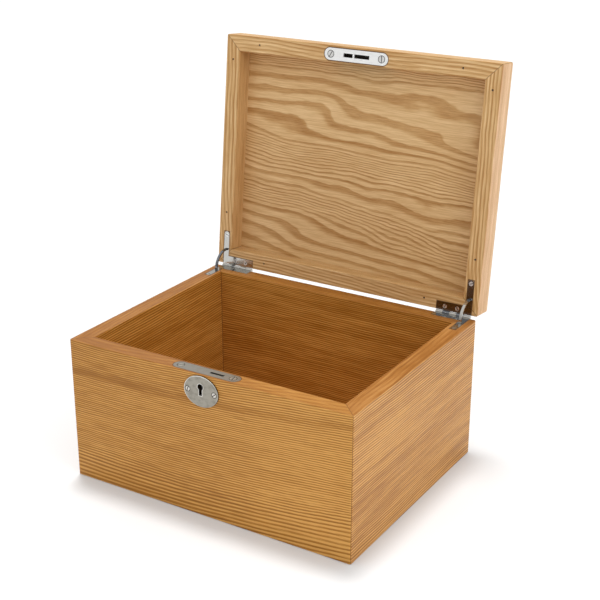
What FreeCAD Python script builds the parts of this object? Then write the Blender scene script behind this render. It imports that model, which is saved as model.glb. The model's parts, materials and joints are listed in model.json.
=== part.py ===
import FreeCAD, Part
import math
import os

# Lockable wooden document box: a mitred base, a framed lid on two quadrant hinges with curved stays,
# and a mortise lock whose hook turns up into a link plate in the lid.
# Millimetres. X runs along the front, Y from the front to the back, Z up.
# Origin: the middle of the underside. The lid is drawn shut, then turned back to its open stop.

V = FreeCAD.Vector
X_AXIS = V(1, 0, 0)
Y_AXIS = V(0, 1, 0)
Z_AXIS = V(0, 0, 1)

# Woodwork
box_width = 346.0
box_depth = 275.0
base_height = 163.0
lid_height = 27.0
base_wall = 19.5
lid_wall = 18.5
floor_thickness = 6.0
floor_lip = 8.0            # wall left outside the floor's rebate
panel_thickness = 5.5
panel_lip = 6.0            # lid frame left outside the panel's rebate
corner_round = 2.2         # upright outer edges
foot_round = 1.4           # edges round the underside and the lid's top
arris = 0.7                # edges at the joint line
lid_gap = 0.4              # joint line between base and lid when shut
open_angle = 96.3

# Fits
fit_gap = 0.10             # a let-in piece in its recess
bore_gap = 0.05            # radial running clearance
move_gap = 0.40            # clearance beside a piece that moves
past = 1.0                 # how far a cutting shape runs past the face it opens
touch = 1e-3               # two levels closer than this are the same

# Quadrant hinges
leaf_thickness = 1.6
barrel_radius = 2.0
hinge_pin_radius = 0.95
hinge_pin_round = 0.3
hinge_overhang = 2.3       # hinge axis behind the back face
arm_inset = 11.3           # middle of the side arm, in from the side face
arm_width = 7.0
base_arm_length = 37.0
lid_arm_length = 40.0
back_arm_length = 42.0
back_arm_depth = 9.5
knuckle_count = 5
knuckle_gap = 0.2
arm_screw_inset = 4.2
back_screws = (10.0, 25.0)  # from the back arm's inner end

# Stays
stay_radius = 20.0
stay_thickness = 1.6
stay_width = 3.0
stay_slot_gap = 0.3
stay_head_width = 5.2
stay_stop_angle = 6.6      # start of the head past the leaf's plane
stay_head_angle = 5.4

# Lock
lock_shift = -1.0          # middle of the lock plates from the middle of the front
selvedge_length = 80.0
selvedge_width = 14.0
plate_thickness = 2.0
selvedge_slot = (4.6, 21.0)        # from the middle of the lock
selvedge_slot_width = 3.2
plate_screw_spread = 32.0
case_length = 58.0
case_thickness = 9.4
case_headroom = 0.9                # under the hook or the key's bit, whichever hangs lower
case_wall = 1.2
hook_thickness = 2.4
hook_inner = 12.2
hook_band = 2.5
hook_pivot_shift = 3.0             # from the middle of the lock
hook_pivot_drop = 7.0              # below the rim
hook_pivot_radius = 2.0
hook_hub_radius = 3.6
hook_hub_length = 6.0
hook_rest_tip = 26.0               # angle of the hook's tip at rest
hook_sweep = 120.0                 # length of the hook's band
hook_web = 26.0                    # arm that joins the band to the hub
drill_pin_radius = 1.25

# Lever in the lock
lever_thickness = 1.4
lever_pivot_shift = -21.0
lever_pivot_drop = 12.5
lever_pivot_radius = 1.5
lever_eye_radius = 3.2
lever_bar_height = 4.0
lever_reach = 16.5
spring_thickness = 0.4
spring_width = 3.0
spring_foot = 5.0                  # flat end against the case
spring_short = 3.0                 # stops this far from the lever's end
lever_gap = 0.3                    # between the cap and the lever
spring_gap = 0.15                  # between the cap and the spring

# Link plate in the lid
link_length = 80.0
link_width = 13.5
link_short_slot = (-15.6, -4.1)    # from the middle of the lock
link_long_slot = (-2.0, 16.7)
link_slot_width = 4.3
link_headroom = 1.7                # over the thrown hook
link_pocket_width = 6.4

# Escutcheon and keyhole
escutcheon_width = 41.8
escutcheon_height = 34.0
escutcheon_thickness = 1.5
escutcheon_bevel = 0.3
escutcheon_drop = 18.1             # its middle below the rim
escutcheon_screw_spread = 16.2
keyhole_shift = -0.5               # from the middle of the lock
keyhole_drop = 13.2                # middle of the round part below the rim
keyhole_radius = 3.5
keyhole_slot_width = 3.8
keyhole_slot_reach = 9.4           # from the middle of the round part down
keyhole_bore_gap = 0.5             # the wood's keyhole is this much larger

# Screws and pins
plate_screw = {"head": 3.6, "shank": 1.6, "length": 14.0}
hinge_screw = {"head": 2.5, "shank": 1.2, "length": 11.0}
escutcheon_screw = {"head": 2.6, "shank": 1.0, "length": 5.2}
cap_screw = {"head": 1.3, "shank": 0.7, "length": 3.0}
cap_screw_inset = 4.0
cap_screw_wall = 0.8               # of the pillar round each cap screw
screw_slot_width = 0.8
screw_slot_depth = 0.35            # share of the head's radius
screw_tip_radius = 0.2
frame_pin_radius = 0.7
frame_pin_head = 1.2
frame_pin_head_height = 1.0
frame_pin_length = 23.0
frame_pin_sink = 1.2
front_pin_spread = 128.0
back_pin_spread = 107.0
side_pin_places = (-109.0, 74.0)

# Keys
key_length = 44.0
key_gap = 0.85                     # round the barrel and the bit in the keyhole
key_bore_gap = 0.15                # round the drill pin
key_bore_depth = 12.0
key_collar_radius = 3.9
key_collar_length = 2.2
key_bit_length = 6.5
key_bit_inset = 1.0                # plain barrel past the bit
key_ward_width = 1.3
key_ward_depth = 2.4
key_bow_length = 17.0
key_bow_width = 19.0
key_bow_band = 2.8
key_bow_thickness = 2.0
key_stack_gap = 0.5
key_tip_gap = 0.1
key_spot = (-125.0, -92.0)         # middle of the lower bow on the box's floor
key_turn = 8.0                     # direction of the lower key's barrel, from +X
key_spread = 60.0                  # angle between the two barrels
upper_key_offset = (-1.0, 8.0)     # upper bow from the lower one, in the lower key's own axes
ring_radius = 12.0
ring_wire = 0.7
ring_tilt = 50.0
ring_turn = 90.0

# Worked out
rim = base_height
lid_low = base_height + lid_gap
lid_top = lid_low + lid_height
panel_low = lid_top - panel_thickness
hinge_y = box_depth / 2 + hinge_overhang
hinge_z = rim + lid_gap / 2
arm_x = box_width / 2 - arm_inset
barrel_end = arm_x + arm_width / 2
lock_x = lock_shift
lock_y = -box_depth / 2 + base_wall / 2
case_top = rim - plate_thickness
case_inside = case_thickness / 2 - case_wall
hook_x = lock_x + hook_pivot_shift
hook_z = rim - hook_pivot_drop
lever_x = lock_x + lever_pivot_shift
lever_z = rim - lever_pivot_drop
key_x = lock_x + keyhole_shift
key_z = rim - keyhole_drop
hook_reach = hook_inner + hook_band
case_low = min(hook_z - hook_reach, key_z - keyhole_slot_reach) - case_headroom - case_wall
link_pocket_top = hook_z + hook_reach + link_headroom
key_barrel_radius = keyhole_radius - key_gap
key_bore_radius = drill_pin_radius + key_bore_gap
key_bit_reach = keyhole_slot_reach - 1.5 * key_gap
key_bit_thickness = keyhole_slot_width - 2 * key_gap


# Shapes in general

def block(x0, x1, y0, y1, z0, z1):
    return Part.makeBox(x1 - x0, y1 - y0, z1 - z0, V(x0, y0, z0))


def prism(points, direction):
    outline = Part.makePolygon(points + [points[0]])
    return Part.Face(outline).extrude(direction)


def round_ended(length, width, x, y, z0, z1):
    """An upright plate with half-round ends, its length along X."""
    radius = width / 2
    straight = length / 2 - radius
    bar = block(x - straight, x + straight, y - radius, y + radius, z0, z1)
    for end in (-straight, straight):
        bar = bar.fuse(Part.makeCylinder(radius, z1 - z0, V(x + end, y, z0)))
    return bar.removeSplitter()


def rounded_block(width, depth, low, high, low_round, high_round):
    body = block(-width / 2, width / 2, -depth / 2, depth / 2, low, high)
    upright = [e for e in body.Edges if e.BoundBox.ZLength > touch]
    body = body.makeFillet(corner_round, upright)
    for level, radius in ((low, low_round), (high, high_round)):
        ring = [e for e in body.Edges if e.BoundBox.ZLength < touch and abs(e.BoundBox.ZMin - level) < touch]
        body = body.makeFillet(radius, ring)
    return body


def soften_mouth(body, width, depth, level):
    """Take the arris off the inner edges of a rim."""
    inner = []
    for e in body.Edges:
        box = e.BoundBox
        flat = box.ZLength < touch and abs(box.ZMin - level) < touch
        inside = max(abs(box.XMin), abs(box.XMax)) < width / 2 + touch
        inside = inside and max(abs(box.YMin), abs(box.YMax)) < depth / 2 + touch
        if flat and inside:
            inner.append(e)
    return body.makeFillet(arris, inner)


def mitred(ring, side, wall, low, high):
    """The part of a rectangular ring that belongs to one side, cut at 45 degrees at both ends."""
    half = {"front": (box_width / 2, box_depth / 2), "back": (box_width / 2, box_depth / 2),
            "left": (box_depth / 2, box_width / 2), "right": (box_depth / 2, box_width / 2)}[side]
    along, out = half
    reach = wall + past
    corners = [(-along - past, out + past), (along + past, out + past),
               (along - reach, out - reach), (-along + reach, out - reach)]
    turn = {"back": 0, "left": 90, "front": 180, "right": 270}[side]
    wedge = prism([V(a, b, low - past) for a, b in corners], V(0, 0, high - low + 2 * past))
    wedge.rotate(V(0, 0, 0), Z_AXIS, turn)
    return ring.common(wedge)


def cut_all(body, tools):
    for tool in tools:
        body = body.cut(tool)
    return body


def mirrored(shape):
    return shape.mirror(V(0, 0, 0), X_AXIS)


def opened(shape):
    """Turn a piece of the shut lid back to its open stop."""
    turned = shape.copy()
    turned.rotate(V(0, hinge_y, hinge_z), X_AXIS, -open_angle)
    return turned


# Screws: drawn with the head's face at the origin, pointing down

def screw_blank(size, extra):
    head = size["head"] + extra
    shank = size["shank"] + extra
    slope = head - shank
    cone = Part.makeCone(shank, head, slope, V(0, 0, -slope))
    point = 2 * size["shank"]
    rod = Part.makeCylinder(shank, size["length"] - point - slope, V(0, 0, -size["length"] + point))
    tip = Part.makeCone(screw_tip_radius + extra, shank, point, V(0, 0, -size["length"]))
    return cone.fuse(rod).fuse(tip).removeSplitter()


def screw(size, slot_turn):
    head = size["head"]
    slot = block(-head, head, -screw_slot_width / 2, screw_slot_width / 2, -screw_slot_depth * head, past)
    slot.rotate(V(0, 0, 0), Z_AXIS, slot_turn)
    return screw_blank(size, 0).cut(slot)


def pointed(shape, direction, place):
    """Turn a downward screw to point down, up or inwards, and put it in place."""
    turned = shape.copy()
    turned.rotate(V(0, 0, 0), X_AXIS, {"down": 0, "up": 180, "inwards": 90}[direction])
    turned.translate(V(*place))
    return turned


def screw_set(size, direction, places, turns):
    return [pointed(screw(size, turn), direction, place) for place, turn in zip(places, turns)]


def screw_holes(size, direction, places):
    blank = screw_blank(size, bore_gap)
    return [pointed(blank, direction, place) for place in places]


# Places of the fasteners

def hinge_screw_places(arm_length, level):
    inner_end = barrel_end - back_arm_length
    back_y = box_depth / 2 - back_arm_depth / 2
    places = [(arm_x, box_depth / 2 - arm_length + arm_screw_inset, level)]
    for along in back_screws:
        places.append((inner_end + along, back_y, level))
    return places + [(-x, y, z) for x, y, z in places]


base_hinge_screws = hinge_screw_places(base_arm_length, rim)
lid_hinge_screws = hinge_screw_places(lid_arm_length, lid_low)
selvedge_screws = [(lock_x + s * plate_screw_spread, lock_y, rim) for s in (-1, 1)]
link_screws = [(lock_x + s * plate_screw_spread, lock_y, lid_low) for s in (-1, 1)]
escutcheon_front = -box_depth / 2 - escutcheon_thickness
escutcheon_z = rim - escutcheon_drop
escutcheon_screws = [(lock_x + s * escutcheon_screw_spread, escutcheon_front, escutcheon_z) for s in (-1, 1)]


def frame_pin_places():
    mid = lid_wall / 2
    places = [(s * front_pin_spread, -box_depth / 2 + mid) for s in (-1, 1)]
    places += [(s * back_pin_spread, box_depth / 2 - mid) for s in (-1, 1)]
    places += [(s * (box_width / 2 - mid), y) for s in (-1, 1) for y in side_pin_places]
    return places


# Keyhole

def keyhole(grow, y0, y1):
    radius = keyhole_radius + grow
    half = keyhole_slot_width / 2 + grow
    bore = Part.makeCylinder(radius, y1 - y0, V(key_x, y0, key_z), Y_AXIS)
    slot = block(key_x - half, key_x + half, y0, y1, key_z - keyhole_slot_reach - grow, key_z)
    return bore.fuse(slot).removeSplitter()


# Recesses that cross the mitres, cut from every piece they reach

def leaf_recess(arm_length, low, high):
    """Shallow L recess for one hinge leaf, open at the back face."""
    back = box_depth / 2
    inner_end = barrel_end - back_arm_length - fit_gap
    outer = barrel_end + fit_gap
    end_y = back - arm_length + arm_width / 2
    arm = block(arm_x - arm_width / 2 - fit_gap, outer, end_y, back + past, low, high)
    end = Part.makeCylinder(arm_width / 2 + fit_gap, high - low, V(arm_x, end_y, low))
    rear = block(inner_end, outer, back - back_arm_depth - fit_gap, back + past, low, high)
    return arm.fuse(end).fuse(rear).removeSplitter()


def stay_pocket(low, high):
    """Deep pocket that the stay's end swings in."""
    half = stay_head_width / 2 + move_gap
    deepest = math.radians(stay_stop_angle + stay_head_angle + open_angle / 2)
    far = stay_radius + stay_thickness / 2 + move_gap
    near = (stay_radius - stay_thickness / 2) * math.cos(deepest) - move_gap
    return block(arm_x - half, arm_x + half, hinge_y - far, hinge_y - near, low, high)


def stay_depth():
    deepest = math.radians(stay_stop_angle + stay_head_angle + open_angle / 2)
    return (stay_radius + stay_thickness / 2) * math.sin(deepest) + move_gap


def base_recesses():
    leaf = leaf_recess(base_arm_length, rim - leaf_thickness, rim + past)
    pocket = stay_pocket(hinge_z - stay_depth(), rim)
    return [leaf, pocket, mirrored(leaf), mirrored(pocket)]


def lid_recesses():
    leaf = leaf_recess(lid_arm_length, lid_low - past, lid_low + leaf_thickness)
    pocket = stay_pocket(lid_low, hinge_z + stay_depth())
    return [leaf, pocket, mirrored(leaf), mirrored(pocket)]


# Base

def base_ring():
    ring = rounded_block(box_width, box_depth, 0, rim, foot_round, arris)
    inner_w = box_width - 2 * base_wall
    inner_d = box_depth - 2 * base_wall
    ring = ring.cut(block(-inner_w / 2, inner_w / 2, -inner_d / 2, inner_d / 2, -past, rim + past))
    ring = ring.cut(floor_board())
    return soften_mouth(ring, inner_w, inner_d, rim)


def floor_board():
    half_w = box_width / 2 - floor_lip
    half_d = box_depth / 2 - floor_lip
    return block(-half_w, half_w, -half_d, half_d, 0, floor_thickness)


def lock_mortise():
    """Plate recess, case pocket and keyhole in the front wall."""
    plate = round_ended(selvedge_length + 2 * fit_gap, selvedge_width + 2 * fit_gap,
                        lock_x, lock_y, case_top, rim + past)
    half = case_length / 2 + fit_gap
    half_y = case_thickness / 2 + fit_gap
    pocket = block(lock_x - half, lock_x + half, lock_y - half_y, lock_y + half_y, case_low, rim)
    hole = keyhole(keyhole_bore_gap, -box_depth / 2 - past, lock_y)
    return [plate, pocket, hole]


def base_walls():
    ring = base_ring()
    cuts = {"front": lock_mortise(), "back": base_recesses(), "left": base_recesses(), "right": base_recesses()}
    cuts["front"] += screw_holes(plate_screw, "down", selvedge_screws)
    cuts["front"] += screw_holes(escutcheon_screw, "inwards", escutcheon_screws)
    for side in ("back", "left", "right"):
        cuts[side] += screw_holes(hinge_screw, "down", base_hinge_screws)
    walls = {side: mitred(ring, side, base_wall, 0, rim) for side in cuts}
    return {side: cut_all(walls[side], tools) for side, tools in cuts.items()}


# Lid, drawn shut

def lid_ring():
    ring = rounded_block(box_width, box_depth, lid_low, lid_top, arris, foot_round)
    inner_w = box_width - 2 * lid_wall
    inner_d = box_depth - 2 * lid_wall
    ring = ring.cut(block(-inner_w / 2, inner_w / 2, -inner_d / 2, inner_d / 2, lid_low - past, lid_top + past))
    ring = ring.cut(lid_panel())
    return soften_mouth(ring, inner_w, inner_d, lid_low)


def lid_panel():
    half_w = box_width / 2 - panel_lip
    half_d = box_depth / 2 - panel_lip
    return block(-half_w, half_w, -half_d, half_d, panel_low, lid_top)


def link_pocket():
    plate = round_ended(link_length + 2 * fit_gap, link_width + 2 * fit_gap,
                        lock_x, lock_y, lid_low - past, lid_low + plate_thickness)
    half = link_pocket_width / 2
    left = lock_x + link_short_slot[0] - move_gap
    right = lock_x + link_long_slot[1] + move_gap
    pocket = block(left, right, lock_y - half, lock_y + half, lid_low, link_pocket_top)
    return [plate, pocket]


def frame_pin(extra):
    shank = Part.makeCylinder(frame_pin_radius + extra, frame_pin_length, V(0, 0, 0))
    head = Part.makeCylinder(frame_pin_head + extra, frame_pin_head_height, V(0, 0, 0))
    return shank.fuse(head).removeSplitter()


def frame_pins():
    pins = []
    for x, y in frame_pin_places():
        pin = frame_pin(0)
        pin.translate(V(x, y, lid_low + frame_pin_sink))
        pins.append(pin)
    return pins


def frame_pin_holes():
    holes = []
    for x, y in frame_pin_places():
        hole = frame_pin(bore_gap)
        hole.translate(V(x, y, lid_low + frame_pin_sink))
        mouth = Part.makeCylinder(frame_pin_head + bore_gap, frame_pin_sink + past, V(x, y, lid_low - past))
        holes.append(hole.fuse(mouth))
    return holes


def lid_frame():
    ring = cut_all(lid_ring(), frame_pin_holes())
    cuts = {"front": link_pocket() + screw_holes(plate_screw, "up", link_screws)}
    for side in ("back", "left", "right"):
        cuts[side] = lid_recesses() + screw_holes(hinge_screw, "up", lid_hinge_screws)
    strips = {side: mitred(ring, side, lid_wall, lid_low, lid_top) for side in cuts}
    return {side: cut_all(strips[side], tools) for side, tools in cuts.items()}


# Quadrant hinges, drawn for the right-hand side

def knuckles(first, low, high):
    """Every second knuckle from the given one, each with its tab to the leaf."""
    pitch = back_arm_length / knuckle_count
    inner_end = barrel_end - back_arm_length
    parts = []
    for index in range(first, knuckle_count, 2):
        start = inner_end + index * pitch + knuckle_gap / 2
        length = pitch - knuckle_gap
        parts.append(Part.makeCylinder(barrel_radius, length, V(start, hinge_y, hinge_z), X_AXIS))
        parts.append(block(start, start + length, box_depth / 2 - past, hinge_y - past, low, high))
    return parts


def stay_slot(low, high):
    half = stay_width / 2 + stay_slot_gap
    far = stay_radius + stay_thickness / 2 + move_gap
    near = stay_radius - stay_thickness / 2 - move_gap
    return block(arm_x - half, arm_x + half, hinge_y - far, hinge_y - near, low - past, high + past)


def hinge_leaf(arm_length, low, high, first_knuckle, holes):
    back = box_depth / 2
    end_y = back - arm_length + arm_width / 2
    leaf = block(arm_x - arm_width / 2, barrel_end, end_y, back, low, high)
    leaf = leaf.fuse(Part.makeCylinder(arm_width / 2, high - low, V(arm_x, end_y, low)))
    leaf = leaf.fuse(block(barrel_end - back_arm_length, barrel_end, back - back_arm_depth, back, low, high))
    for piece in knuckles(first_knuckle, low, high):
        leaf = leaf.fuse(piece)
    bore = Part.makeCylinder(hinge_pin_radius + bore_gap, box_width, V(0, hinge_y, hinge_z), X_AXIS)
    return cut_all(leaf.removeSplitter(), [bore, stay_slot(low, high)] + holes)


def base_leaf():
    holes = screw_holes(hinge_screw, "down", base_hinge_screws)
    return hinge_leaf(base_arm_length, rim - leaf_thickness, rim, 0, holes)


def lid_leaf():
    holes = screw_holes(hinge_screw, "up", lid_hinge_screws)
    return hinge_leaf(lid_arm_length, lid_low, lid_low + leaf_thickness, 1, holes)


def hinge_pin():
    start = barrel_end - back_arm_length
    pin = Part.makeCylinder(hinge_pin_radius, back_arm_length, V(start, hinge_y, hinge_z), X_AXIS)
    ends = [e for e in pin.Edges if e.BoundBox.XLength < touch]
    return pin.makeFillet(hinge_pin_round, ends)


def arc_band(start, sweep, width):
    """Strip round the hinge axis; angles run from straight ahead (-Y) up and back."""
    inner = hinge_y - stay_radius + stay_thickness / 2
    outer = inner - stay_thickness
    corners = [(arm_x - width / 2, outer), (arm_x + width / 2, outer), (arm_x + width / 2, inner),
               (arm_x - width / 2, inner), (arm_x - width / 2, outer)]
    face = Part.Face(Part.makePolygon([V(x, y, hinge_z) for x, y in corners]))
    face.rotate(V(0, hinge_y, hinge_z), X_AXIS, -start)
    return face.revolve(V(0, hinge_y, hinge_z), V(-1, 0, 0), sweep)


def stay():
    reach = stay_stop_angle + stay_head_angle
    strip = arc_band(-reach, open_angle + 2 * reach, stay_width)
    low_head = arc_band(-reach, stay_head_angle, stay_head_width)
    high_head = arc_band(open_angle + stay_stop_angle, stay_head_angle, stay_head_width)
    return strip.fuse(low_head).fuse(high_head).removeSplitter()


# Lock

def lock_selvedge():
    plate = round_ended(selvedge_length, selvedge_width, lock_x, lock_y, case_top, rim)
    half = selvedge_slot_width / 2
    slot = block(lock_x + selvedge_slot[0], lock_x + selvedge_slot[1], lock_y - half, lock_y + half,
                 case_top - past, rim + past)
    return cut_all(plate, [slot] + screw_holes(plate_screw, "down", selvedge_screws))


def cap_screw_places():
    x_off = case_length / 2 - cap_screw_inset
    front = lock_y - case_thickness / 2
    levels = (case_low + cap_screw_inset, case_top - cap_screw_inset)
    return [(lock_x + s * x_off, front, z) for s in (-1, 1) for z in levels]


def lock_case():
    """Tray that holds the works, open towards the front."""
    half = case_length / 2
    back = lock_y + case_thickness / 2
    cap_back = lock_y - case_inside
    tray = block(lock_x - half, lock_x + half, cap_back, back, case_low, case_top)
    room = block(lock_x - half + case_wall, lock_x + half - case_wall, cap_back - past, lock_y + case_inside,
                 case_low + case_wall, case_top + past)
    tray = tray.cut(room)
    pillar_radius = cap_screw["head"] + cap_screw_wall
    for x, _, z in cap_screw_places():
        tray = tray.fuse(Part.makeCylinder(pillar_radius, 2 * case_inside, V(x, cap_back, z), Y_AXIS))
    return cut_all(tray.removeSplitter(), screw_holes(cap_screw, "inwards", cap_screw_places()))


def lock_cap():
    half = case_length / 2
    front = lock_y - case_thickness / 2
    plate = block(lock_x - half, lock_x + half, front, lock_y - case_inside, case_low, case_top)
    hole = keyhole(0, front - past, lock_y)
    return cut_all(plate, [hole] + screw_holes(cap_screw, "inwards", cap_screw_places()))


def lock_post(radius, x, z):
    return Part.makeCylinder(radius, 2 * case_inside, V(x, lock_y - case_inside, z), Y_AXIS)


def drill_pin():
    start = lock_y - case_thickness / 2
    length = lock_y + case_inside - start
    return Part.makeCylinder(drill_pin_radius, length, V(key_x, start, key_z), Y_AXIS)


def hook_sector(inner, outer, start, sweep, thickness):
    """Flat ring sector round the hook's pivot; angles run from +X up."""
    ring = Part.makeCylinder(outer, thickness, V(0, 0, 0), Z_AXIS, sweep)
    if inner > 0:
        ring = ring.cut(Part.makeCylinder(inner, thickness + 2 * past, V(0, 0, -past)))
    ring.rotate(V(0, 0, 0), Z_AXIS, start)
    ring.rotate(V(0, 0, 0), X_AXIS, 90)
    ring.translate(V(hook_x, lock_y + thickness / 2, hook_z))
    return ring


def hook_bolt():
    tail = hook_rest_tip - hook_sweep
    band = hook_sector(hook_inner, hook_reach, tail, hook_sweep, hook_thickness)
    arm = hook_sector(0, hook_reach, tail, hook_web, hook_thickness)
    hub = Part.makeCylinder(hook_hub_radius, hook_hub_length,
                            V(hook_x, lock_y - hook_hub_length / 2, hook_z), Y_AXIS)
    bore = Part.makeCylinder(hook_pivot_radius + bore_gap, hook_hub_length + 2 * past,
                             V(hook_x, lock_y - hook_hub_length / 2 - past, hook_z), Y_AXIS)
    return band.fuse(arm).fuse(hub).removeSplitter().cut(bore)


def lever_front():
    return lock_y - case_inside + lever_gap


def lock_lever():
    y0 = lever_front()
    eye = Part.makeCylinder(lever_eye_radius, lever_thickness, V(lever_x, y0, lever_z), Y_AXIS)
    low = lever_z + lever_eye_radius - lever_bar_height
    bar = block(lever_x, lever_x + lever_reach, y0, y0 + lever_thickness, low, low + lever_bar_height)
    bore = Part.makeCylinder(lever_pivot_radius + bore_gap, lever_thickness + 2 * past,
                             V(lever_x, y0 - past, lever_z), Y_AXIS)
    return eye.fuse(bar).removeSplitter().cut(bore)


def lever_spring():
    """Flat leaf from the case's end wall, bent down on to the lever."""
    y0 = lock_y - case_inside + spring_gap
    wall_x = lock_x - case_length / 2 + case_wall
    high = case_top - spring_thickness
    rest = lever_z + lever_eye_radius
    bend_x = wall_x + spring_foot
    tip_x = lever_x + lever_reach - spring_short
    upper = [(tip_x, rest + spring_thickness), (bend_x, high), (wall_x, high)]
    points = [(x, z - spring_thickness) for x, z in reversed(upper)] + upper
    return prism([V(x, y0, z) for x, z in points], V(0, spring_width, 0))


# Link plate and escutcheon

def link_plate():
    plate = round_ended(link_length, link_width, lock_x, lock_y, lid_low, lid_low + plate_thickness)
    half = link_slot_width / 2
    cuts = screw_holes(plate_screw, "up", link_screws)
    for start, end in (link_short_slot, link_long_slot):
        cuts.append(block(lock_x + start, lock_x + end, lock_y - half, lock_y + half, lid_low - past,
                          lid_low + plate_thickness + past))
    return cut_all(plate, cuts)


def escutcheon():
    oval = Part.Ellipse(V(0, 0, 0), escutcheon_width / 2, escutcheon_height / 2).toShape()
    plate = Part.Face(Part.Wire(oval)).extrude(V(0, 0, escutcheon_thickness))
    rim_edge = [e for e in plate.Edges if e.BoundBox.ZMin > escutcheon_thickness - touch]
    plate = plate.makeChamfer(escutcheon_bevel, rim_edge)
    plate.rotate(V(0, 0, 0), X_AXIS, 90)
    plate.translate(V(lock_x, -box_depth / 2, escutcheon_z))
    cuts = screw_holes(escutcheon_screw, "inwards", escutcheon_screws)
    return cut_all(plate, [keyhole(0, escutcheon_front - past, -box_depth / 2 + past)] + cuts)


# Keys

def key():
    """Barrel key lying along +X, the middle of its bow at the origin, its bit flat."""
    start = key_bow_length / 2 - key_bow_band / 3
    end = key_length - key_bow_length / 2
    barrel = Part.makeCylinder(key_barrel_radius, end - start, V(start, 0, 0), X_AXIS)
    collar = Part.makeCylinder(key_collar_radius, key_collar_length, V(key_bow_length / 2, 0, 0), X_AXIS)
    half_t = key_bit_thickness / 2
    bit_end = end - key_bit_inset
    bit_start = bit_end - key_bit_length
    bit = block(bit_start, bit_end, 0, key_bit_reach, -half_t, half_t)
    middle = (bit_start + bit_end) / 2
    ward = block(middle - key_ward_width / 2, middle + key_ward_width / 2,
                 key_bit_reach - key_ward_depth, key_bit_reach + past, -half_t - past, half_t + past)
    body = barrel.fuse(collar).fuse(bit).fuse(bow()).removeSplitter()
    bore = Part.makeCylinder(key_bore_radius, key_bore_depth, V(end - key_bore_depth, 0, 0), X_AXIS)
    return cut_all(body, [ward, bore])


def bow():
    half_t = key_bow_thickness / 2
    blanks = []
    for inset in (0, key_bow_band):
        oval = Part.Ellipse(V(0, 0, -half_t), key_bow_width / 2 - inset, key_bow_length / 2 - inset).toShape()
        oval.rotate(V(0, 0, 0), Z_AXIS, 90)
        blanks.append(Part.Face(Part.Wire(oval)).extrude(V(0, 0, key_bow_thickness)))
    return blanks[0].cut(blanks[1])


def on_floor(shape):
    """From the lower key's own axes to its spot on the box's floor."""
    shape.rotate(V(0, 0, 0), Z_AXIS, key_turn)
    shape.translate(V(key_spot[0], key_spot[1], floor_thickness))
    return shape


def keys():
    """The lower key lies on its collar; the upper bow lies on the lower one, its barrel dipping down."""
    lower_axis = key_collar_radius
    upper_axis = lower_axis + key_bow_thickness + key_stack_gap
    run = key_length - key_bow_length / 2
    dip = math.degrees(math.asin((upper_axis - key_barrel_radius - key_tip_gap) / run))
    lower = key()
    lower.translate(V(0, 0, lower_axis))
    upper = key()
    upper.rotate(V(0, 0, 0), Y_AXIS, dip)
    upper.rotate(V(0, 0, 0), Z_AXIS, key_spread)
    upper.translate(V(upper_key_offset[0], upper_key_offset[1], upper_axis))
    return on_floor(lower), on_floor(upper)


def key_ring():
    """Ring that leans on the floor under the bows and rises through the middle of both."""
    rise = math.radians(ring_tilt)
    crossing = key_collar_radius + (key_bow_thickness + key_stack_gap) / 2
    around = math.acos(1 - (crossing - ring_wire) / (ring_radius * math.sin(rise)))
    ring = Part.makeTorus(ring_radius, ring_wire, V(0, 0, 0), Z_AXIS)
    ring.rotate(V(0, 0, 0), X_AXIS, ring_tilt)
    ring.translate(V(-ring_radius * math.sin(around), ring_radius * math.cos(around) * math.cos(rise),
                     ring_radius * math.sin(rise) + ring_wire))
    ring.rotate(V(0, 0, 0), Z_AXIS, ring_turn)
    ring.translate(V(upper_key_offset[0] / 2, upper_key_offset[1] / 2, 0))
    return on_floor(ring)


# All nodes

def nodes():
    parts = {"base_floor": floor_board()}
    parts["lid_panel"] = opened(cut_all(lid_panel(), frame_pin_holes() + lid_recesses()))
    for side, wall in base_walls().items():
        parts["base_" + side] = wall
    for side, strip in lid_frame().items():
        parts["lid_" + side] = opened(strip)
    parts["lid_pins"] = opened(Part.makeCompound(frame_pins()))

    parts["hinge_base_leaf_right"] = base_leaf()
    parts["hinge_base_leaf_left"] = mirrored(base_leaf())
    parts["hinge_lid_leaf_right"] = opened(lid_leaf())
    parts["hinge_lid_leaf_left"] = opened(mirrored(lid_leaf()))
    parts["hinge_pin_right"] = hinge_pin()
    parts["hinge_pin_left"] = mirrored(hinge_pin())
    parts["stay_right"] = stay()
    parts["stay_left"] = mirrored(stay())
    turns = (20, 75, 130, 160, 50, 100)
    parts["hinge_base_screws"] = Part.makeCompound(screw_set(hinge_screw, "down", base_hinge_screws, turns))
    parts["hinge_lid_screws"] = opened(Part.makeCompound(screw_set(hinge_screw, "up", lid_hinge_screws, turns)))

    parts["lock_selvedge"] = lock_selvedge()
    selvedge_set = screw_set(plate_screw, "down", selvedge_screws, (35, 100))
    parts["lock_selvedge_screws"] = Part.makeCompound(selvedge_set)
    parts["lock_case"] = lock_case()
    parts["lock_cap"] = lock_cap()
    cap_set = screw_set(cap_screw, "inwards", cap_screw_places(), (10, 60, 95, 140))
    parts["lock_cap_screws"] = Part.makeCompound(cap_set)
    parts["hook_pivot"] = lock_post(hook_pivot_radius, hook_x, hook_z)
    parts["lever_pivot"] = lock_post(lever_pivot_radius, lever_x, lever_z)
    parts["drill_pin"] = drill_pin()
    parts["hook_bolt"] = hook_bolt()
    parts["lock_lever"] = lock_lever()
    parts["lever_spring"] = lever_spring()
    parts["link_plate"] = opened(link_plate())
    parts["link_plate_screws"] = opened(Part.makeCompound(screw_set(plate_screw, "up", link_screws, (60, 92))))
    parts["escutcheon"] = escutcheon()
    parts["escutcheon_screws"] = Part.makeCompound(
        screw_set(escutcheon_screw, "inwards", escutcheon_screws, (70, 40)))
    parts["key_lower"], parts["key_upper"] = keys()
    parts["key_ring"] = key_ring()
    return parts


os.makedirs("parts", exist_ok=True)
for name, shape in nodes().items():
    shape.exportStep("parts/" + name + ".step")
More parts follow.
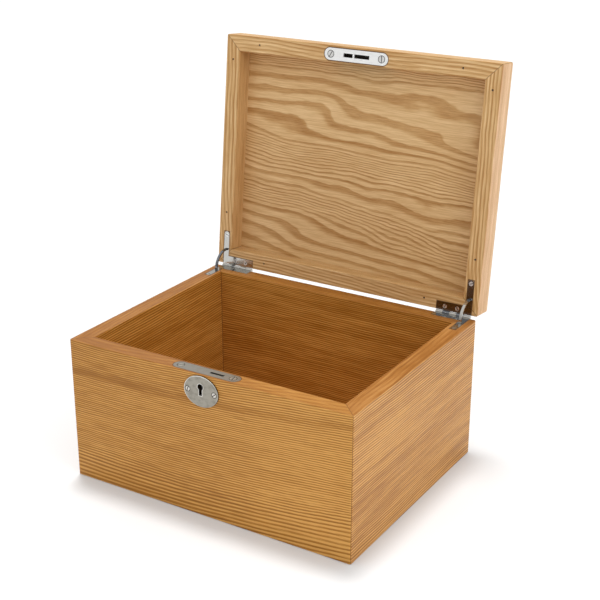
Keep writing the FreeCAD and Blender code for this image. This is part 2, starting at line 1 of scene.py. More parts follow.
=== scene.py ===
import json
import math

import bmesh
import bpy
from mathutils import Matrix, Vector


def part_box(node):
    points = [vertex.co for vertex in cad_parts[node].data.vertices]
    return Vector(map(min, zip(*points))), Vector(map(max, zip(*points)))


# Looks of the wooden document box: ash boards with their own grain, nickel fittings, bright keys.

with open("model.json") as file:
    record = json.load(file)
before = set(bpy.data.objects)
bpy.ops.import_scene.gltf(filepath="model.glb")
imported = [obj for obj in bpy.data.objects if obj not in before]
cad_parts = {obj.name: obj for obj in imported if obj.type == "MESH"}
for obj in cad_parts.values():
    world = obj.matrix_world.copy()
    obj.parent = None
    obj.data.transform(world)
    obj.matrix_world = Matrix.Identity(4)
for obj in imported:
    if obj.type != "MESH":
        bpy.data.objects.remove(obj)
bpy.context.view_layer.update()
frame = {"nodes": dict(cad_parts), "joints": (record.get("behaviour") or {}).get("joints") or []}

# ---------------------------------------------------------------- sizes taken from the frame

MM = 0.001
JOINTS = {joint["name"]: joint for joint in frame["joints"]}
HINGE = Vector(JOINTS["lid_hinge"]["pos_m"])
OPEN_ANGLE = math.radians(-JOINTS["lid_hinge"]["range_deg"][0])

FRONT_LOW, FRONT_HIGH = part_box("base_front")
HALF_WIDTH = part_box("base_right")[1].x
HALF_DEPTH = -FRONT_LOW.y
RIM = FRONT_HIGH.z
RIM_EDGE = (RIM - 0.6 * MM, RIM - 0.1 * MM)
LID_LOW = 2 * HINGE.z - RIM
LID_THICKNESS = 27.0 * MM

SELVEDGE_LOW, SELVEDGE_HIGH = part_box("lock_selvedge")
LOCK_X = (SELVEDGE_LOW.x + SELVEDGE_HIGH.x) / 2
LOCK_Y = (SELVEDGE_LOW.y + SELVEDGE_HIGH.y) / 2
PLATE_HALF_LENGTH = (SELVEDGE_HIGH.x - SELVEDGE_LOW.x) / 2
PLATE_RADIUS = (SELVEDGE_HIGH.y - SELVEDGE_LOW.y) / 2
PLATE_THICKNESS = SELVEDGE_HIGH.z - SELVEDGE_LOW.z
PLATE_SCREWS_LOW, PLATE_SCREWS_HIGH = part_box("lock_selvedge_screws")
PLATE_SCREW_HEAD = (PLATE_SCREWS_HIGH.y - PLATE_SCREWS_LOW.y) / 2
PLATE_SCREW_OFF = (PLATE_SCREWS_HIGH.x - PLATE_SCREWS_LOW.x) / 2 - PLATE_SCREW_HEAD
LOCK_CASE_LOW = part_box("lock_case")[0].z

OVAL_LOW, OVAL_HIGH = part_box("escutcheon")
OVAL_MIDDLE = (OVAL_LOW + OVAL_HIGH) / 2
OVAL_HALF = (OVAL_HIGH - OVAL_LOW) / 2
OVAL_SCREWS_LOW, OVAL_SCREWS_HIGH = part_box("escutcheon_screws")
OVAL_SCREW_HEAD = (OVAL_SCREWS_HIGH.z - OVAL_SCREWS_LOW.z) / 2
OVAL_SCREW_OFF = (OVAL_SCREWS_HIGH.x - OVAL_SCREWS_LOW.x) / 2 - OVAL_SCREW_HEAD
KEYHOLE_X = LOCK_X - 0.5 * MM
KEYHOLE_Z = RIM - 13.2 * MM
KEYHOLE_RADIUS = 3.5 * MM
KEYHOLE_SLOT_HALF = 2.1 * MM
KEYHOLE_SLOT_FOOT = 9.9 * MM
POCKET_HALF_LENGTH = 35.0 * MM
POCKET_HALF_BREADTH = 9.0 * MM

LEAF_LOW, LEAF_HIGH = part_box("hinge_base_leaf_right")
LEAF_ARM_WIDTH = 7.0 * MM
LEAF_BACK_DEPTH = 9.5 * MM
BASE_ARM_LENGTH = HALF_DEPTH - LEAF_LOW.y
LID_ARM_LENGTH = 40.0 * MM


# ---------------------------------------------------------------- shader building

class Nodes:
    """Short ways to add shader nodes to one material."""

    def __init__(self, name):
        self.material = bpy.data.materials.new(name)
        self.material.use_nodes = True
        self.tree = self.material.node_tree
        self.tree.nodes.clear()
        self.shader = self.tree.nodes.new("ShaderNodeBsdfPrincipled")
        output = self.tree.nodes.new("ShaderNodeOutputMaterial")
        self.tree.links.new(self.shader.outputs["BSDF"], output.inputs["Surface"])

    def put(self, socket, value):
        """Link a socket's output to another, or set its number or colour."""
        if isinstance(value, bpy.types.NodeSocket):
            self.tree.links.new(value, socket)
        else:
            socket.default_value = value

    def add(self, kind, **settings):
        node = self.tree.nodes.new(kind)
        for key, value in settings.items():
            setattr(node, key, value)
        return node

    def place(self):
        """Object coordinates, in metres in the frame."""
        return self.add("ShaderNodeTexCoord").outputs["Object"]

    def moved(self, vector, location=(0, 0, 0), rotation=(0, 0, 0), scale=(1, 1, 1)):
        node = self.add("ShaderNodeMapping")
        self.put(node.inputs["Vector"], vector)
        node.inputs["Location"].default_value = location
        node.inputs["Rotation"].default_value = rotation
        node.inputs["Scale"].default_value = scale
        return node.outputs["Vector"]

    def split(self, vector):
        node = self.add("ShaderNodeSeparateXYZ")
        self.put(node.inputs[0], vector)
        return node.outputs["X"], node.outputs["Y"], node.outputs["Z"]

    def join(self, x=0.0, y=0.0, z=0.0):
        node = self.add("ShaderNodeCombineXYZ")
        for socket, value in zip(node.inputs, (x, y, z)):
            self.put(socket, value)
        return node.outputs[0]

    def sums(self, operation, *values):
        """One sum of the named kind."""
        node = self.add("ShaderNodeMath", operation=operation)
        for socket, value in zip(node.inputs, values):
            self.put(socket, value)
        return node.outputs[0]

    def plus(self, first, second):
        return self.sums("ADD", first, second)

    def minus(self, first, second):
        return self.sums("SUBTRACT", first, second)

    def times(self, first, second):
        return self.sums("MULTIPLY", first, second)

    def over(self, first, second):
        return self.sums("DIVIDE", first, second)

    def larger(self, first, second):
        return self.sums("MAXIMUM", first, second)

    def smaller(self, first, second):
        return self.sums("MINIMUM", first, second)

    def size(self, value):
        """The value without its sign."""
        return self.sums("ABSOLUTE", value)

    def length(self, first, second):
        """Length of the slant over two sides at right angles."""
        return self.sums("SQRT", self.plus(self.times(first, first), self.times(second, second)))

    def noise(self, vector, scale, detail=2.0, roughness=0.5, distortion=0.0):
        node = self.add("ShaderNodeTexNoise")
        self.put(node.inputs["Vector"], vector)
        self.put(node.inputs["Scale"], scale)
        node.inputs["Detail"].default_value = detail
        node.inputs["Roughness"].default_value = roughness
        node.inputs["Distortion"].default_value = distortion
        return node.outputs["Fac"]

    def ramp(self, value, low, high, to_low=0.0, to_high=1.0, smooth=True):
        node = self.add("ShaderNodeMapRange", clamp=True)
        node.interpolation_type = "SMOOTHSTEP" if smooth else "LINEAR"
        for name, item in (("Value", value), ("From Min", low), ("From Max", high),
                           ("To Min", to_low), ("To Max", to_high)):
            self.put(node.inputs[name], item)
        return node.outputs["Result"]

    def blend(self, share, first, second, blend_type="MIX"):
        node = self.add("ShaderNodeMix", data_type="RGBA", blend_type=blend_type)
        self.put(node.inputs[0], share)
        for socket, colour in ((node.inputs[6], first), (node.inputs[7], second)):
            if isinstance(colour, tuple):
                colour = (*colour, 1.0)
            self.put(socket, colour)
        return node.outputs[2]

    def bump(self, height, distance, strength=1.0):
        node = self.add("ShaderNodeBump")
        node.inputs["Distance"].default_value = distance
        node.inputs["Strength"].default_value = strength
        self.put(node.inputs["Height"], height)
        self.put(self.shader.inputs["Normal"], node.outputs["Normal"])


# ---------------------------------------------------------------- ash boards

# Each palette runs from the porous line that starts a growth ring to the pale part that ends it.
# GOLDEN is the base, ROSY its right side, PALE the lid.
GOLDEN = ((0.275, 0.105, 0.008), (0.408, 0.166, 0.020), (0.665, 0.345, 0.082))
ROSY = ((0.275, 0.102, 0.014), (0.455, 0.190, 0.033), (0.710, 0.380, 0.112))
PALE = ((0.400, 0.188, 0.050), (0.580, 0.342, 0.136), (0.800, 0.560, 0.290))
PORE = (0.220, 0.092, 0.018)
# Dark glue line at the mitres; the same colour is painted shade in the gaps round the let-in plates and
# hinge leaves.
JOINT_AND_GAP_SHADE = (0.085, 0.036, 0.014)
# Near-black painted shade in the hole behind the lock's plates.
POCKET_SHADE = (0.012, 0.008, 0.005)

# These two multiply the wood's own colour. The first lightens the outer face of the lid's right board,
# partly as a lighter board and partly as a painted sheen of the light on that side; the second darkens the
# top edge of the walls.
LIGHTER_BOARD_AND_SHEEN = (1.12, 1.13, 1.38)
RIM_DARKENING = (0.72, 0.66, 0.66)

# Breadth of a growth ring on the base, at the foot of the front, on the lid's frame and on its panel.
FINE_RING = 2.5 * MM
FOOT_RING = 4.5 * MM
LID_RING = 2.0 * MM
PANEL_RING = 14.0 * MM

# The dark streak on the front: how far below the rim, how far it drifts, and its half breadth.
STREAK_DROP = 37.5 * MM
STREAK_DRIFT = 6.0 * MM
STREAK_HALF = 4.2 * MM

MEAN_TONE = 0.62
MITRE_DEPTH = 0.75
# Strength of the painted shade round the hinge leaves.
LEAF_GAP_SHADE_DEPTH = 0.80
FRONT_LIFT = 0.175


def lid_shut(nodes, place):
    """Where a place on the open lid is when the lid is shut."""
    place = nodes.moved(place, location=tuple(-HINGE))
    place = nodes.moved(place, rotation=(OPEN_ANGLE, 0, 0))
    return nodes.moved(place, location=tuple(HINGE))


def board_place(nodes, grain, in_lid):
    """The place as if the lid were shut, and the same place with X along the board's grain."""
    shut = nodes.place()
    if in_lid:
        shut = lid_shut(nodes, shut)
    if grain == "depth":
        return shut, nodes.moved(shut, rotation=(0, 0, math.radians(-90)))
    return shut, shut


def stretched_noise(nodes, axes, sizes, seed, detail=2.0):
    """Noise whose spots have the given sizes in metres along the grain and across it."""
    along, across, through = axes
    vector = nodes.join(nodes.over(along, sizes[0]), nodes.over(across, sizes[1]),
                        nodes.plus(nodes.over(through, sizes[1]), seed))
    return nodes.noise(vector, 1.0, detail)


def ring_tone(nodes, rings, pale_from=0.62):
    """0 in the dark porous line that starts each ring, rising to 1; no two rings are equally dark."""
    part = nodes.sums("FRACT", rings)
    rise = nodes.ramp(part, 0.10, pale_from)
    fall = nodes.ramp(part, 0.90, 1.0, 1.0, 0.0)
    tone = nodes.times(rise, fall)
    lot = nodes.add("ShaderNodeTexWhiteNoise", noise_dimensions="1D")
    nodes.put(lot.inputs["W"], nodes.sums("FLOOR", rings))
    depth = nodes.ramp(lot.outputs["Value"], 0.0, 1.0, 0.0, 0.55, smooth=False)
    tone = nodes.larger(tone, depth)
    return tone, part


def finish_wood(nodes, axes, tone, part, palette, contrast, bands, fibres=0.38, dark=None, seed=0.0):
    """Colour, fibres, pores and sheen that every board shares."""
    fibre = nodes.ramp(stretched_noise(nodes, axes, (0.030, 0.0011), seed, 3.0), 0.30, 0.70)
    streaks = nodes.ramp(stretched_noise(nodes, axes, (0.160, 0.0060), seed + 3.0), 0.34, 0.66)
    cloud = nodes.ramp(stretched_noise(nodes, axes, (0.200, 0.045), seed + 6.0), 0.30, 0.70)
    vessels = stretched_noise(nodes, axes, (0.009, 0.0005), seed + 9.0)
    pore = nodes.times(nodes.ramp(vessels, 0.54, 0.66), nodes.ramp(part, 0.0, 0.55, 1.0, 0.2))

    share = nodes.times(nodes.minus(tone, MEAN_TONE), contrast)
    for pattern, weight in ((fibre, fibres), (streaks, bands), (cloud, 0.14)):
        share = nodes.plus(share, nodes.times(nodes.minus(pattern, 0.5), weight))
    share = nodes.plus(share, 0.52)
    if dark is not None:
        share = nodes.minus(share, dark)
    porous, body, late = palette
    colour = nodes.blend(nodes.ramp(share, 0.0, 0.5, smooth=False), porous, body)
    colour = nodes.blend(nodes.ramp(share, 0.5, 1.0, smooth=False), colour, late)
    colour = nodes.blend(nodes.times(pore, 0.30), colour, PORE)
    nodes.put(nodes.shader.inputs["Base Color"], colour)

    rough = nodes.plus(0.36, nodes.times(fibre, 0.12))
    nodes.put(nodes.shader.inputs["Roughness"], nodes.plus(rough, nodes.times(pore, 0.25)))
    nodes.shader.inputs["Specular IOR Level"].default_value = 0.28
    height = nodes.minus(nodes.times(tone, 0.5), pore)
    nodes.bump(height, 0.00010, 0.5)


def quiet_rim(nodes, shut, tone):
    """The planed top edge of a wall shows only a trace of the rings."""
    _, _, z = nodes.split(shut)
    trace = nodes.ramp(z, *RIM_EDGE, 1.0, 0.25)
    return nodes.plus(nodes.times(nodes.minus(tone, MEAN_TONE), trace), MEAN_TONE)


def darken_rim_top(nodes, shut):
    """The planed top edge is coloured darker than the faces."""
    _, _, z = nodes.split(shut)
    darken(nodes, nodes.ramp(z, *RIM_EDGE), RIM_DARKENING, "MULTIPLY")


def mitre_line(nodes, shut):
    """Dark hairline where two boards meet at a corner, seen from any side."""
    x, y, _ = nodes.split(shut)
    from_side = nodes.minus(HALF_WIDTH, nodes.size(x))
    from_end = nodes.minus(HALF_DEPTH, nodes.size(y))
    gap = nodes.size(nodes.minus(from_side, from_end))
    darken(nodes, nodes.times(nodes.ramp(gap, 0.15 * MM, 0.60 * MM, 1.0, 0.0), MITRE_DEPTH))


def darken(nodes, share, colour=JOINT_AND_GAP_SHADE, blend_type="MIX"):
    """Lay a line of another colour over the piece's own."""
    socket = nodes.shader.inputs["Base Color"]
    under = socket.links[0].from_socket
    nodes.put(socket, nodes.blend(share, under, colour, blend_type))


def between(nodes, value, low, high, soft=0.15 * MM):
    """1 where the value lies between two levels."""
    rise = nodes.ramp(value, low - soft, low + soft)
    return nodes.times(rise, nodes.ramp(value, high - soft, high + soft, 1.0, 0.0))


def lock_recess_dirt_and_shade(nodes, shut, pocket_low, pocket_high):
    """Dark hairline round the let-in plate, partly dirt and partly painted shade in the gap, and a
    near-black pocket behind it, which is painted shade in the hole.
    """
    x, y, z = nodes.split(shut)
    along = nodes.size(nodes.minus(x, LOCK_X))
    across = nodes.size(nodes.minus(y, LOCK_Y))
    past_straight = nodes.larger(nodes.minus(along, PLATE_HALF_LENGTH - PLATE_RADIUS), 0.0)
    off_edge = nodes.size(nodes.minus(nodes.length(past_straight, across), PLATE_RADIUS))
    line = nodes.times(nodes.ramp(off_edge, 0.60 * MM, 1.10 * MM, 1.0, 0.0),
                       between(nodes, z, RIM - 4 * MM, RIM + 4 * MM))
    inside_length = nodes.ramp(along, POCKET_HALF_LENGTH, POCKET_HALF_LENGTH + 1.0 * MM, 1.0, 0.0)
    inside_breadth = nodes.ramp(across, POCKET_HALF_BREADTH, POCKET_HALF_BREADTH + 0.3 * MM, 1.0, 0.0)
    inside = nodes.times(inside_length, inside_breadth)
    pocket = nodes.times(inside, between(nodes, z, pocket_low, pocket_high))
    darken(nodes, nodes.times(line, 0.90))
    darken(nodes, nodes.times(pocket, 0.97), POCKET_SHADE)


def from_block(nodes, x, y, x_ends, y_ends):
    """How far a place lies outside a rectangle, less than nothing inside it."""
    past = []
    for value, (low, high) in ((x, x_ends), (y, y_ends)):
        off = nodes.size(nodes.minus(value, (low + high) / 2))
        past.append(nodes.minus(off, (high - low) / 2))
    return nodes.larger(*past)


def leaf_gap_shade(nodes, shut, arm_length):
    """Painted shade: a dark hairline in the wood round the two arms of each hinge leaf, in the gap where the
    leaf is let in.
    """
    x, y, z = nodes.split(shut)
    side = nodes.size(x)
    arm = from_block(nodes, side, y, (LEAF_HIGH.x - LEAF_ARM_WIDTH, LEAF_HIGH.x),
                     (HALF_DEPTH - arm_length, HALF_DEPTH))
    back = from_block(nodes, side, y, (LEAF_LOW.x, LEAF_HIGH.x),
                      (HALF_DEPTH - LEAF_BACK_DEPTH, HALF_DEPTH))
    gap = nodes.size(nodes.smaller(arm, back))
    line = nodes.times(nodes.ramp(gap, 0.60 * MM, 1.00 * MM, 1.0, 0.0),
                       between(nodes, z, RIM - 1.5 * MM, RIM + 1.5 * MM))
    darken(nodes, nodes.times(line, LEAF_GAP_SHADE_DEPTH))


def straight_rings(nodes, vector, seed, ring, slope):
    """The board's axes, and the tone of growth rings that cross its end at a slope."""
    axes = along, across, through = nodes.split(vector)
    line = nodes.plus(through, nodes.times(across, slope))
    line = nodes.plus(line, waver(nodes, along, line, seed, 0.030))
    tone, part = ring_tone(nodes, nodes.over(line, ring))
    return axes, tone, part


def drawn_noise(nodes, along, across, scales, seed, detail):
    """Flat noise that is drawn out along the grain."""
    along_scale, across_scale = scales
    vector = nodes.join(nodes.times(along, along_scale), nodes.times(across, across_scale), seed)
    return nodes.noise(vector, 1.0, detail)


def waver(nodes, along, across, seed, reach):
    """How far a ring line strays: long lazy bends and a small tremble."""
    bend = drawn_noise(nodes, along, across, (2.2, 9.0), seed, 1.0)
    shiver = drawn_noise(nodes, along, across, (14.0, 40.0), seed + 4.0, 2.0)
    return nodes.plus(nodes.times(bend, reach), nodes.times(shiver, 0.0030))


def straight_board(name, grain, seed, palette, ring=FINE_RING, slope=0.55, contrast=0.90, bands=0.20):
    """A straight-grained board of the base, with close lines that stray a little."""
    nodes = Nodes(name)
    shut, vector = board_place(nodes, grain, False)
    axes, tone, part = straight_rings(nodes, vector, seed, ring, slope)
    tone = quiet_rim(nodes, shut, tone)
    finish_wood(nodes, axes, tone, part, palette, contrast, bands, seed=seed)
    darken_rim_top(nodes, shut)
    mitre_line(nodes, shut)
    leaf_gap_shade(nodes, shut, BASE_ARM_LENGTH)
    return nodes.material


def lid_board(name, grain, seed, lighter_and_sheen=False, lock_plate=False):
    """One of the four narrow boards of the lid's frame."""
    nodes = Nodes(name)
    shut, vector = board_place(nodes, grain, True)
    axes, tone, part = straight_rings(nodes, vector, seed, LID_RING, 0.45)
    finish_wood(nodes, axes, tone, part, PALE, 0.52, 0.16, seed=seed)
    # Painted sheen: the outer face of the right board is made lighter, partly a lighter board and partly the
    # light falling on that side.
    if lighter_and_sheen:
        x, _, _ = nodes.split(shut)
        darken(nodes, nodes.ramp(x, HALF_WIDTH - 1.0 * MM, HALF_WIDTH - 0.2 * MM), LIGHTER_BOARD_AND_SHEEN, "MULTIPLY")
    mitre_line(nodes, shut)
    leaf_gap_shade(nodes, shut, LID_ARM_LENGTH)
    if lock_plate:
        lock_recess_dirt_and_shade(nodes, shut, RIM + PLATE_THICKNESS, RIM + LID_THICKNESS - 4 * MM)
    return nodes.material


def rim_streak(nodes, along, level):
    """The one dark streak that runs under the front's rim."""
    drift = nodes.noise(nodes.join(nodes.times(along, 9.0), 0.0, 0.0), 1.0, 1.0)
    middle = nodes.plus(RIM - STREAK_DROP, nodes.times(drift, STREAK_DRIFT))
    off = nodes.over(nodes.minus(level, middle), STREAK_HALF)
    streak = nodes.sums("EXPONENT", nodes.times(nodes.times(off, off), -1.0))
    return nodes.times(streak, 0.34)


def front_board(name):
    """The front: lines that lift to the right, coarse at the foot, with one dark streak under the rim."""
    nodes = Nodes(name)
    shut, vector = board_place(nodes, "width", False)
    axes = along, across, through = nodes.split(vector)
    run = nodes.plus(along, HALF_WIDTH)
    lift = nodes.times(nodes.times(run, run), FRONT_LIFT)
    level = nodes.minus(through, lift)
    line = nodes.plus(level, waver(nodes, along, level, 3.0, 0.020))
    line = nodes.plus(line, nodes.times(across, 0.35))
    coarse = nodes.over(line, FOOT_RING)
    above_foot = nodes.sums("SMOOTH_MAX", nodes.plus(line, 0.004), 0.0, 0.016)
    fine = nodes.times(above_foot, 1 / FINE_RING - 1 / FOOT_RING)
    tone, part = ring_tone(nodes, nodes.plus(coarse, fine))
    tone = quiet_rim(nodes, shut, tone)
    dark = nodes.minus(rim_streak(nodes, along, level), nodes.times(nodes.ramp(along, -0.02, 0.13), 0.22))
    finish_wood(nodes, axes, tone, part, GOLDEN, 0.95, 0.14, dark=dark)
    darken_rim_top(nodes, shut)
    mitre_line(nodes, shut)
    lock_recess_dirt_and_shade(nodes, shut, LOCK_CASE_LOW - 2 * MM, RIM - PLATE_THICKNESS)
    return nodes.material


def panel_level(nodes, along, down):
    """Distance across the panel's rings, whose lines fan out and wave away from the lock."""
    run = nodes.plus(along, HALF_WIDTH)
    bend = drawn_noise(nodes, along, down, (7.5, 16.0), 2.0, 1.0)
    shiver = drawn_noise(nodes, along, down, (34.0, 60.0), 7.0, 2.0)
    upper_fan = nodes.times(nodes.ramp(down, 0.028, 0.100), nodes.ramp(down, 0.100, 0.170, 1.0, 0.0))
    lower_fan = nodes.ramp(down, 0.130, 0.225)
    fan = nodes.plus(nodes.times(upper_fan, 0.135), nodes.times(lower_fan, 0.130))
    level = nodes.minus(down, nodes.times(run, fan))
    calm = nodes.ramp(down, 0.105, 0.150, 1.0, 0.55)
    loose = nodes.times(nodes.times(nodes.ramp(down, 0.028, 0.070), calm), 0.042)
    loose = nodes.plus(loose, 0.008)
    level = nodes.plus(level, nodes.times(nodes.minus(bend, 0.5), loose))
    return nodes.plus(level, nodes.times(nodes.minus(shiver, 0.5), 0.0050))


def panel_board(name):
    """The lid's panel: close lines at its front edge and middle, wide waves between them and the hinges."""
    nodes = Nodes(name)
    _, vector = board_place(nodes, "width", True)
    axes = along, across, _ = nodes.split(vector)
    down = nodes.plus(across, HALF_DEPTH)
    level = panel_level(nodes, along, down)
    rings = nodes.over(level, PANEL_RING)
    for low, high, extra in ((0.010, 0.036, 6.0), (0.095, 0.160, 7.0), (0.160, 0.200, 6.0)):
        rings = nodes.plus(rings, nodes.ramp(level, low, high, 0.0, extra))
    tone, part = ring_tone(nodes, rings, 0.50)
    dark = nodes.ramp(down, 0.012, 0.040, 0.15, 0.0)
    finish_wood(nodes, axes, tone, part, PALE, 0.64, 0.06, 0.34, dark)
    return nodes.material


# ---------------------------------------------------------------- metal

# Lighter colour for edges worn by handling; on the oval plate's rim it is also a painted highlight.
WEAR_AND_HIGHLIGHT = (0.86, 0.84, 0.79)
# Near-black painted shade in the gaps round screw heads, in their slots and on the oval plate's side wall.
PAINTED_SHADE = (0.030, 0.026, 0.022)
FRONT_TO_BACK, UPWARD = 1, 2


def metal(name, colour, roughness, brushing, spots=0.25, mark=(0.30, 0.29, 0.27), edges=None, painted_shade=None,
          bump=0.00001):
    """Plated metal: fine brushing, cloudy dulling, a few worn specks, lighter edges where given (worn by
    handling, and a painted highlight on the oval plate's rim) and painted shade where given.
    """
    nodes = Nodes(name)
    place = nodes.place()
    brushed = nodes.noise(nodes.moved(place, scale=brushing), 1.0, 3.0, 0.6)
    cloud = nodes.noise(place, 180.0, 3.0, 0.6)
    speck = nodes.ramp(nodes.noise(place, 900.0, 2.0), 0.64, 0.75)
    dull = nodes.times(nodes.ramp(cloud, 0.42, 0.72), spots)
    rough = nodes.plus(roughness, nodes.times(nodes.minus(brushed, 0.5), 0.16))
    rough = nodes.plus(rough, nodes.times(dull, 0.3))
    tone = nodes.blend(dull, colour, mark)
    tone = nodes.blend(nodes.times(speck, spots), tone, mark)
    if edges:
        worn = edges(nodes, place)
        tone = nodes.blend(nodes.times(worn, 0.85), tone, WEAR_AND_HIGHLIGHT)
        rough = nodes.ramp(worn, 0.0, 1.0, rough, 0.16, smooth=False)
    nodes.put(nodes.shader.inputs["Base Color"], tone)
    if painted_shade:
        darken(nodes, painted_shade(nodes, place), PAINTED_SHADE)
    nodes.put(nodes.shader.inputs["Roughness"], rough)
    nodes.shader.inputs["Metallic"].default_value = 1.0
    nodes.bump(brushed, bump, 0.6)
    return nodes.material


def from_screws(nodes, along, across, off, head):
    """1 on the hairline round the two screw heads of a plate."""
    aside = nodes.minus(nodes.size(along), off)
    distance = nodes.length(aside, across)
    gap = nodes.size(nodes.minus(distance, head))
    return nodes.ramp(gap, 0.45 * MM, 0.85 * MM, 1.0, 0.0)


def plate_screw_shade(nodes, place):
    """Painted shade in the gap round the screws of the lock's long plate on the rim."""
    x, y, _ = nodes.split(place)
    return from_screws(nodes, nodes.minus(x, LOCK_X), nodes.minus(y, LOCK_Y),
                       PLATE_SCREW_OFF, PLATE_SCREW_HEAD)


def link_screw_shade(nodes, place):
    """The same on the lid's plate, which lies over it when the lid is shut."""
    return plate_screw_shade(nodes, lid_shut(nodes, place))


def slot_shade(axis, face, depth=0.25 * MM):
    """Painted shade in the slots of screws whose heads end at the given level of one axis."""
    def painted_shade(nodes, place):
        value = nodes.split(place)[axis]
        return nodes.ramp(nodes.size(nodes.minus(value, face)), 0.5 * depth, depth)
    return painted_shade


def link_slot_shade(nodes, place):
    """Painted shade in the slots of the lid's screws, whose heads lie in its joint face."""
    _, _, z = nodes.split(lid_shut(nodes, place))
    return nodes.ramp(nodes.minus(z, LID_LOW), 0.30 * MM, 0.50 * MM)


def oval_shade(nodes, place):
    """Painted shade round the oval plate's screws, and on its side wall."""
    x, y, z = nodes.split(place)
    round_screws = from_screws(nodes, nodes.minus(x, OVAL_MIDDLE.x), nodes.minus(z, OVAL_MIDDLE.z),
                               OVAL_SCREW_OFF, OVAL_SCREW_HEAD)
    wall = nodes.ramp(y, OVAL_LOW.y + 0.35 * MM, OVAL_LOW.y + 0.6 * MM)
    return nodes.larger(round_screws, wall)


def oval_rim_wear_and_highlight(nodes, x, z):
    """Rim of the oval plate, lighter partly from wear and partly from a painted highlight where its bevel
    catches the light, strongest at its upper left.
    """
    across = nodes.over(nodes.minus(x, OVAL_MIDDLE.x), OVAL_HALF.x)
    up = nodes.over(nodes.minus(z, OVAL_MIDDLE.z), OVAL_HALF.z)
    oval = nodes.length(across, up)
    lit = nodes.ramp(nodes.minus(up, across), -0.7, 0.9, 0.15, 1.0)
    return nodes.times(nodes.ramp(oval, 0.945, 0.985), lit)


def keyhole_lip(nodes, x, z):
    """Worn lip round the keyhole's bore and its slot."""
    aside = nodes.minus(x, KEYHOLE_X)
    above = nodes.minus(z, KEYHOLE_Z)
    from_bore = nodes.length(aside, above)
    bore = nodes.ramp(from_bore, KEYHOLE_RADIUS + 0.2 * MM, KEYHOLE_RADIUS + 0.7 * MM, 1.0, 0.0)
    in_slot = nodes.ramp(nodes.size(aside), KEYHOLE_SLOT_HALF, KEYHOLE_SLOT_HALF + 0.5 * MM, 1.0, 0.0)
    slot = nodes.times(in_slot, between(nodes, above, -KEYHOLE_SLOT_FOOT, 0.0, 0.3 * MM))
    return nodes.larger(bore, slot)


def oval_edges(nodes, place):
    """The oval plate's rim, partly worn and partly a painted highlight, and the worn lip of its keyhole."""
    x, _, z = nodes.split(place)
    return nodes.larger(oval_rim_wear_and_highlight(nodes, x, z), keyhole_lip(nodes, x, z))


# ---------------------------------------------------------------- studio

def surroundings():
    """Soft white all round, brighter from above."""
    world = bpy.data.worlds.new("studio")
    bpy.context.scene.world = world
    world.use_nodes = True
    tree = world.node_tree
    background = tree.nodes["Background"]
    background.inputs["Color"].default_value = (1.0, 0.99, 0.975, 1.0)
    coords = tree.nodes.new("ShaderNodeTexCoord")
    split = tree.nodes.new("ShaderNodeSeparateXYZ")
    tree.links.new(coords.outputs["Generated"], split.inputs[0])
    shade = tree.nodes.new("ShaderNodeMapRange")
    shade.interpolation_type = "SMOOTHSTEP"
    for name, value in (("From Min", -0.1), ("From Max", 0.75), ("To Min", 0.40), ("To Max", 0.94)):
        shade.inputs[name].default_value = value
    tree.links.new(split.outputs["Z"], shade.inputs["Value"])
    tree.links.new(shade.outputs["Result"], background.inputs["Strength"])


def floor_paper():
    """Pale matt paper; its faint cool glow keeps it neutral beside the warm wood."""
    nodes = Nodes("floor_paper")
    tone = nodes.ramp(nodes.noise(nodes.place(), 3.0, 2.0), 0.3, 0.7, 0.75, 0.77)
    nodes.put(nodes.shader.inputs["Base Color"], nodes.blend(tone, (0, 0, 0), (1, 1, 1)))
    nodes.shader.inputs["Roughness"].default_value = 0.9
    nodes.shader.inputs["Specular IOR Level"].default_value = 0.1
    nodes.shader.inputs["Emission Color"].default_value = (0.40, 0.70, 1.0, 1.0)
    nodes.shader.inputs["Emission Strength"].default_value = 0.05
    return nodes.material


def floor():
    """A wide pale floor, which isn't part of the box."""
    sheet = bmesh.new()
    bmesh.ops.create_grid(sheet, x_segments=1, y_segments=1, size=30.0)
    mesh = bpy.data.meshes.new("floor")
    sheet.to_mesh(mesh)
    sheet.free()
    mesh.materials.append(floor_paper())
    ground = bpy.data.objects.new("floor", mesh)
    bpy.context.scene.collection.objects.link(ground)


def lamp(name, kind, spot, aim, power):
    """A lamp of the given kind at a spot, pointed at another."""
    data = bpy.data.lights.new(name, kind)
    data.energy = power
    holder = bpy.data.objects.new(name, data)
    holder.location = spot
    holder.rotation_euler = (Vector(aim) - Vector(spot)).to_track_quat("-Z", "Y").to_euler()
    bpy.context.scene.collection.objects.link(holder)
    return data


def lights():
    lamp("overhead", "SUN", (-0.10, 0.16, 1.0), (0, 0, 0), 1.75).angle = math.radians(11)
    lamp("side_window", "AREA", (1.9, -0.5, 1.3), (0, 0, 0.2), 10.0).size = 1.4


def camera():
    """A long lens, aimed above the box's middle from the right of the front."""
    azimuth, elevation, roll = math.radians(32.57), math.radians(22.48), math.radians(-0.37)
    distance = 1.388
    target = Vector((0, 0, HALF_WIDTH))
    back = Vector((math.sin(azimuth) * math.cos(elevation), -math.cos(azimuth) * math.cos(elevation),
                   math.sin(elevation)))
    right = Vector((math.cos(azimuth), math.sin(azimuth), 0))
    up = back.cross(right)
    turned_right = math.cos(roll) * right + math.sin(roll) * up
    turned_up = back.cross(turned_right)
    data = bpy.data.cameras.new("camera")
    data.sensor_width = 36.0
    data.lens = 77.3
    data.shift_x = 0.0404
    data.shift_y = 0.0350
    data.clip_start = 0.05
    data.clip_end = 100.0
    eye = bpy.data.objects.new("camera", data)
    eye.matrix_world = Matrix.Translation(target + back * distance) @ Matrix(
        (turned_right, turned_up, back)).transposed().to_4x4()
    bpy.context.scene.collection.objects.link(eye)
    bpy.context.scene.camera = eye


# ---------------------------------------------------------------- materials on the CAD pieces

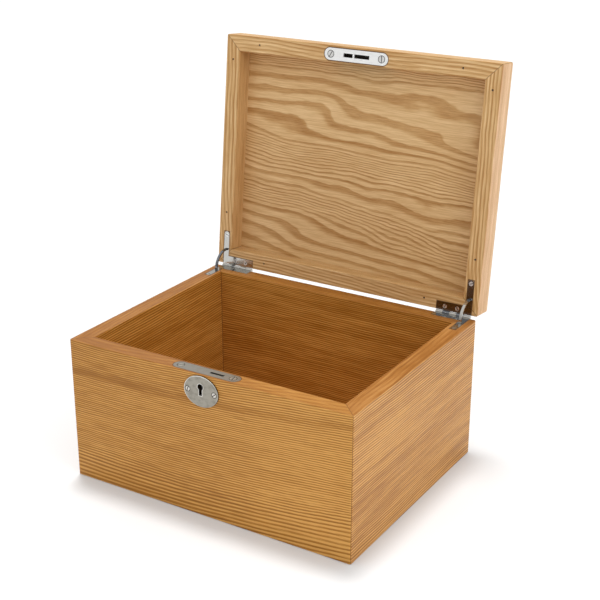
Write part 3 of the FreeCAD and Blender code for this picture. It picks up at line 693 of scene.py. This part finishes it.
def dress(material, *names):
    """Put a material on the named pieces."""
    for name in names:
        for slot in frame["nodes"][name].material_slots:
            slot.material = material


def dress_boards():
    dress(front_board("ash_front"), "base_front")
    dress(straight_board("ash_back", "width", 2.0, GOLDEN), "base_back")
    dress(straight_board("ash_right", "depth", 3.0, ROSY, 2.7 * MM, contrast=1.05, bands=0.34), "base_right")
    dress(straight_board("ash_left", "depth", 5.0, GOLDEN), "base_left")
    dress(straight_board("ash_floor", "width", 6.0, GOLDEN, 5.0 * MM, 1.0), "base_floor")
    dress(lid_board("ash_lid_front", "width", 11.0, lock_plate=True), "lid_front")
    dress(lid_board("ash_lid_back", "width", 12.0), "lid_back")
    dress(lid_board("ash_lid_left", "depth", 14.0), "lid_left")
    dress(lid_board("ash_lid_right", "depth", 15.0, lighter_and_sheen=True), "lid_right")
    dress(panel_board("ash_crown_cut"), "lid_panel")
    dress(metal("dull_pin_steel", (0.10, 0.08, 0.07), 0.5, (500, 500, 500)), "lid_pins")


def dress_lock():
    selvedge = metal("satin_nickel_selvedge", (0.36, 0.34, 0.30), 0.34, (60, 2500, 2500),
                     mark=(0.22, 0.20, 0.17), painted_shade=plate_screw_shade)
    oval = metal("satin_nickel_oval", (0.33, 0.31, 0.265), 0.34, (60, 2500, 2500), spots=0.5,
                 mark=(0.20, 0.18, 0.15), edges=oval_edges, painted_shade=oval_shade)
    white = metal("white_nickel", (0.98, 0.98, 0.97), 0.38, (80, 1500, 1500), spots=0.03, painted_shade=link_screw_shade,
                  bump=0.000003)
    oval_heads = metal("nickel_heads_out", (0.60, 0.57, 0.52), 0.25, (500, 500, 500),
                       painted_shade=slot_shade(FRONT_TO_BACK, OVAL_SCREWS_LOW.y))
    works = metal("zinc_steel", (0.55, 0.55, 0.53), 0.35, (300, 2000, 300))
    brass = metal("lever_brass", (0.70, 0.48, 0.20), 0.3, (300, 2000, 300), mark=(0.35, 0.22, 0.08))
    dress(selvedge, "lock_selvedge")
    dress(oval, "escutcheon")
    dress(white, "link_plate")
    dress(oval_heads, "escutcheon_screws")
    dress(works, "lock_case", "lock_cap", "lock_cap_screws", "hook_pivot", "lever_pivot", "drill_pin",
          "lever_spring")
    dress(brass, "lock_lever")


def dress_hinges():
    heads_up = metal("nickel_heads_up", (0.55, 0.52, 0.46), 0.30, (500, 500, 500),
                     painted_shade=slot_shade(UPWARD, PLATE_SCREWS_HIGH.z))
    heads_down = metal("nickel_heads_down", (0.80, 0.79, 0.77), 0.30, (500, 500, 500), painted_shade=link_slot_shade)
    bright = metal("bright_nickel", (0.50, 0.49, 0.46), 0.14, (40, 600, 600), spots=0.05, bump=0.000002)
    shaded = metal("bright_nickel_shaded", (0.19, 0.20, 0.22), 0.12, (40, 600, 600), spots=0.05,
                   bump=0.000002)
    dress(heads_up, "lock_selvedge_screws", "hinge_base_screws")
    dress(heads_down, "link_plate_screws", "hinge_lid_screws")
    dress(bright, "hinge_base_leaf_left", "hinge_base_leaf_right", "hinge_pin_left", "hinge_pin_right")
    dress(bright, "hinge_lid_leaf_left", "stay_right", "hook_bolt", "key_lower", "key_upper", "key_ring")
    dress(shaded, "hinge_lid_leaf_right", "stay_left")


bpy.context.scene.view_settings.view_transform = "Standard"
camera()
surroundings()
floor()
lights()
dress_boards()
dress_lock()
dress_hinges()
